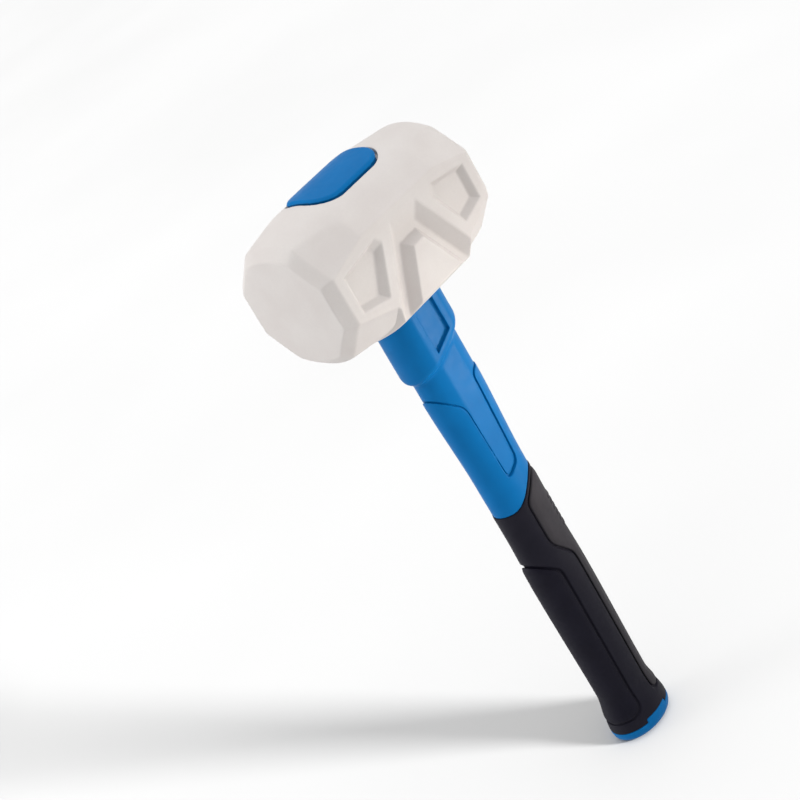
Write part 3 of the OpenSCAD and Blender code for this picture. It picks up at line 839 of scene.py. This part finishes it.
def rod_material():
    """Straw-coloured glass fibre with long strands."""
    n = Nodes("glass_fibre")
    stretch = n.add("ShaderNodeMapping")
    stretch.inputs["Scale"].default_value = (1.0, 1.0, 0.04)
    n.link(n.place, stretch.inputs["Vector"])
    n.place = stretch.outputs["Vector"]
    strand = n.ramp(n.noise(scale=1500.0), low=0.3, high=0.7)
    n.feed(n.mix(strand, FIBRE_DARK, FIBRE_LIGHT), "Base Color")
    n.feed(n.ramp(strand, low=0.0, high=1.0, first=0.45, last=0.6), "Roughness")
    n.feed(n.bump(strand, distance=0.00005, strength=0.5), "Normal")
    return n.material


def floor_material():
    """Plain pale floor."""
    n = Nodes("pale_floor")
    cloud = n.ramp(n.noise(scale=3.0, detail=2.0), low=0.3, high=0.7)
    n.feed(n.mix(cloud, FLOOR_DARK, FLOOR_LIGHT), "Base Color")
    n.fix("Roughness", 0.9)
    n.fix("Specular IOR Level", 0.1)
    return n.material


# Stage

# Camera: its turn round the hammer, height and roll, and its place in millimetres from the middle of the head
CAMERA_AZIMUTH = math.radians(-34.922)
CAMERA_HEIGHT = math.radians(24.148)
CAMERA_ROLL = math.radians(-30.774)
CAMERA_DISTANCE = 918.442
CAMERA_ASIDE = -15.373
CAMERA_ABOVE = 72.912
CAMERA_LENS = 90.0
CAMERA_SENSOR = 36.0
CAMERA_REACH_M = 50.0
# Half the width of the floor in millimetres
FLOOR_HALF = 20000.0

# Softboxes: places, aims and sizes in metres, power in watts and spread of the beam in degrees
SOFTBOXES = (
    dict(name="key_softbox", place=(0.43, -2.0, 0.97), aim=(0.0, 0.0, 0.2), width=0.4, height=0.4, power=5.0),
    dict(name="rim_softbox", place=(-2.7, 2.7, 0.7), aim=(0.0, 0.0, 0.25), width=1.8, height=1.2, power=74.0),
    dict(
        name="low_softbox", place=(0.28, -0.41, 0.06), aim=(0.0, -0.0135, 0.225), width=0.18, height=0.13,
        power=0.095, spread=30.0, colour=(1.0, 0.94, 0.87),
    ),
)

# Low sun on the floor
FLOOR_SUN_STRENGTH = 7.1
FLOOR_SUN_ANGLE = math.radians(10.0)
FLOOR_SUN_DIRECTION = (-0.195, 0.907, -0.374)

# Directions and strengths of the soft light that surrounds the hammer, and how fast it falls off
SKY_LOBES = (
    ((0.0, 0.0, 1.0), 2.42),
    ((0.98, 0.0, 0.2), 0.35),
)
SKY_FALL = 2.0
# Strength of the pale band at the horizon, and how fast it falls off
HORIZON = 0.85
HORIZON_FALL = 60.0


def camera_axes():
    """Right, up and back directions of the camera."""
    back = Vector((
        math.sin(CAMERA_AZIMUTH) * math.cos(CAMERA_HEIGHT),
        -math.cos(CAMERA_AZIMUTH) * math.cos(CAMERA_HEIGHT),
        math.sin(CAMERA_HEIGHT),
    ))
    level = Vector((math.cos(CAMERA_AZIMUTH), math.sin(CAMERA_AZIMUTH), 0.0))
    rise = back.cross(level)
    right = math.cos(CAMERA_ROLL) * level + math.sin(CAMERA_ROLL) * rise
    up = math.cos(CAMERA_ROLL) * rise - math.sin(CAMERA_ROLL) * level
    return right, up, back


def add_camera():
    """Camera at the photograph's viewing angle."""
    right, up, back = camera_axes()
    data = bpy.data.cameras.new("camera")
    data.lens = CAMERA_LENS
    data.sensor_width = CAMERA_SENSOR
    data.clip_end = CAMERA_REACH_M
    camera = bpy.data.objects.new("camera", data)
    place = back * CAMERA_DISTANCE - right * CAMERA_ASIDE - up * CAMERA_ABOVE + Vector((0, 0, HEAD_Z))
    turn = Matrix((right, up, back)).transposed().to_4x4()
    camera.matrix_world = Matrix.Translation(place * MM) @ turn
    bpy.context.scene.collection.objects.link(camera)
    bpy.context.scene.camera = camera


def add_softbox(name, place, aim, width, height, power, spread=180.0, colour=(1.0, 1.0, 1.0)):
    """Soft light that faces a point, with its beam limited to a spread in degrees."""
    data = bpy.data.lights.new(name, "AREA")
    data.shape = "RECTANGLE"
    data.size = width
    data.size_y = height
    data.energy = power
    data.spread = math.radians(spread)
    data.color = colour
    light = bpy.data.objects.new(name, data)
    light.location = place
    light.rotation_euler = (Vector(aim) - Vector(place)).to_track_quat("-Z", "Y").to_euler()
    bpy.context.scene.collection.objects.link(light)


def add_floor_sun(floor):
    """Low sun that lights the floor alone, so the hammer's shadow runs to the left of the picture."""
    data = bpy.data.lights.new("floor_sun", "SUN")
    data.energy = FLOOR_SUN_STRENGTH
    data.angle = FLOOR_SUN_ANGLE
    sun = bpy.data.objects.new("floor_sun", data)
    sun.rotation_euler = Vector(FLOOR_SUN_DIRECTION).to_track_quat("-Z", "Y").to_euler()
    lit = bpy.data.collections.new("lit_floor")
    lit.objects.link(floor)
    sun.light_linking.receiver_collection = lit
    bpy.context.scene.collection.objects.link(sun)


def world_dot(tree, place, direction):
    """How far a place in the sky lies along a direction."""
    dot = tree.nodes.new("ShaderNodeVectorMath")
    dot.operation = "DOT_PRODUCT"
    dot.inputs[1].default_value = direction
    tree.links.new(place, dot.inputs[0])
    return dot.outputs["Value"]


def world_maths(tree, operation, value, other):
    """Result of one sum on a value and a number or another value."""
    node = tree.nodes.new("ShaderNodeMath")
    node.operation = operation
    tree.links.new(value, node.inputs[0])
    if isinstance(other, float):
        node.inputs[1].default_value = other
    else:
        tree.links.new(other, node.inputs[1])
    return node.outputs["Value"]


def add_world():
    """Soft surrounding light, strongest from above, with a pale band at the horizon."""
    world = bpy.data.worlds.new("studio")
    bpy.context.scene.world = world
    world.use_nodes = True
    tree = world.node_tree
    background = tree.nodes["Background"]
    place = tree.nodes.new("ShaderNodeTexCoord").outputs["Generated"]
    height = world_dot(tree, place, (0.0, 0.0, 1.0))
    total = world_maths(tree, "MULTIPLY", height, height)
    band = (("MULTIPLY", -1.0), ("ADD", 1.0), ("POWER", HORIZON_FALL), ("MULTIPLY", HORIZON))
    for operation, number in band:
        total = world_maths(tree, operation, total, number)
    for direction, strength in SKY_LOBES:
        value = world_dot(tree, place, direction)
        for operation, number in (("MAXIMUM", 0.0), ("POWER", SKY_FALL), ("MULTIPLY", strength)):
            value = world_maths(tree, operation, value, number)
        total = world_maths(tree, "ADD", total, value)
    tree.links.new(total, background.inputs["Strength"])
    background.inputs["Color"].default_value = (1.0, 1.0, 1.0, 1.0)


def add_floor(material):
    """Wide floor under the butt."""
    mesh = bpy.data.meshes.new("floor")
    h = FLOOR_HALF * MM
    mesh.from_pydata([(-h, -h, 0), (h, -h, 0), (h, h, 0), (-h, h, 0)], [], [(0, 1, 2, 3)])
    mesh.materials.append(material)
    floor = bpy.data.objects.new("floor", mesh)
    bpy.context.scene.collection.objects.link(floor)
    return floor


def build_pieces():
    """Builds the visible pieces, and dresses the rod inside the handle."""
    rubber = rubber_material()
    blue = blue_material()
    band = soft_black_material("grip_black", GRIP_DARK, GRIP_LIGHT, rough=0.55)
    # The finger panel's black carries painted shade: a darker copy of the band's black
    finger = soft_black_material("finger_black_painted_shade", FINGER_SHADED_DARK, FINGER_SHADED_LIGHT, rough=0.60)
    # The palm panel's black carries painted light: a lighter copy of the band's black
    palm = soft_black_material("palm_black_painted_light", PALM_LIT_DARK, PALM_LIT_LIGHT, rough=0.60)
    # Each grid reaches a little past its piece, with wider steps where nothing shows
    mesh_piece(
        "mallet_head", head_field,
        (steps(-57.6, 57.6, 0.8), steps(-35.6, 35.6, 0.8), HEAD_Z + steps(-37.2, 37.2, 0.8)),
        rubber, "head",
    )
    mesh_piece(
        "mallet_eye_cap", cap_field,
        (steps(-23.4, 23.4, 0.45), steps(-17.9, 17.9, 0.45), steps(324.0, 331.0, 1.2, 343.2, 0.45)),
        blue, "eye_cap",
    )
    mesh_piece(
        "mallet_handle", handle_field,
        (steps(-21.0, 21.0, 0.5), steps(-15.0, 15.0, 0.6), steps(5.2, 146.0, 3.5, 274.0, 0.5, 340.0, 3.0)),
        blue, "handle_body",
    )
    mesh_piece(
        "mallet_sleeve", sleeve_field,
        (steps(-20.1, 20.1, 0.5), steps(-15.4, 15.4, 0.5), steps(5.6, 164.0, 0.64)),
        band, "grip_sleeve",
    )
    mesh_piece(
        "mallet_finger_panel", finger_field,
        (steps(-20.4, -5.4, 0.4), steps(-15.4, 15.4, 0.45), steps(12.0, 124.0, 0.5)),
        finger, "finger_pad",
    )
    mesh_piece(
        "mallet_palm_panel", palm_field,
        (steps(-4.4, 20.4, 0.4), steps(-15.4, 15.4, 0.45), steps(15.0, 161.0, 0.5)),
        palm, "palm_pad",
    )
    mesh_piece(
        "mallet_butt", butt_field,
        (steps(-20.2, 20.2, 0.5), steps(-15.6, 15.6, 0.5), steps(-0.9, 10.4, 0.4, 19.0, 1.5)),
        blue, "butt_cap",
    )
    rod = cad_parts["core_rod"].data
    rod.materials.clear()
    rod.materials.append(rod_material())


def build_stage():
    """Adds the floor, the lights and the camera."""
    floor = add_floor(floor_material())
    add_floor_sun(floor)
    add_world()
    for softbox in SOFTBOXES:
        add_softbox(**softbox)
    add_camera()
    bpy.context.scene.view_settings.view_transform = "Standard"


build_pieces()
build_stage()
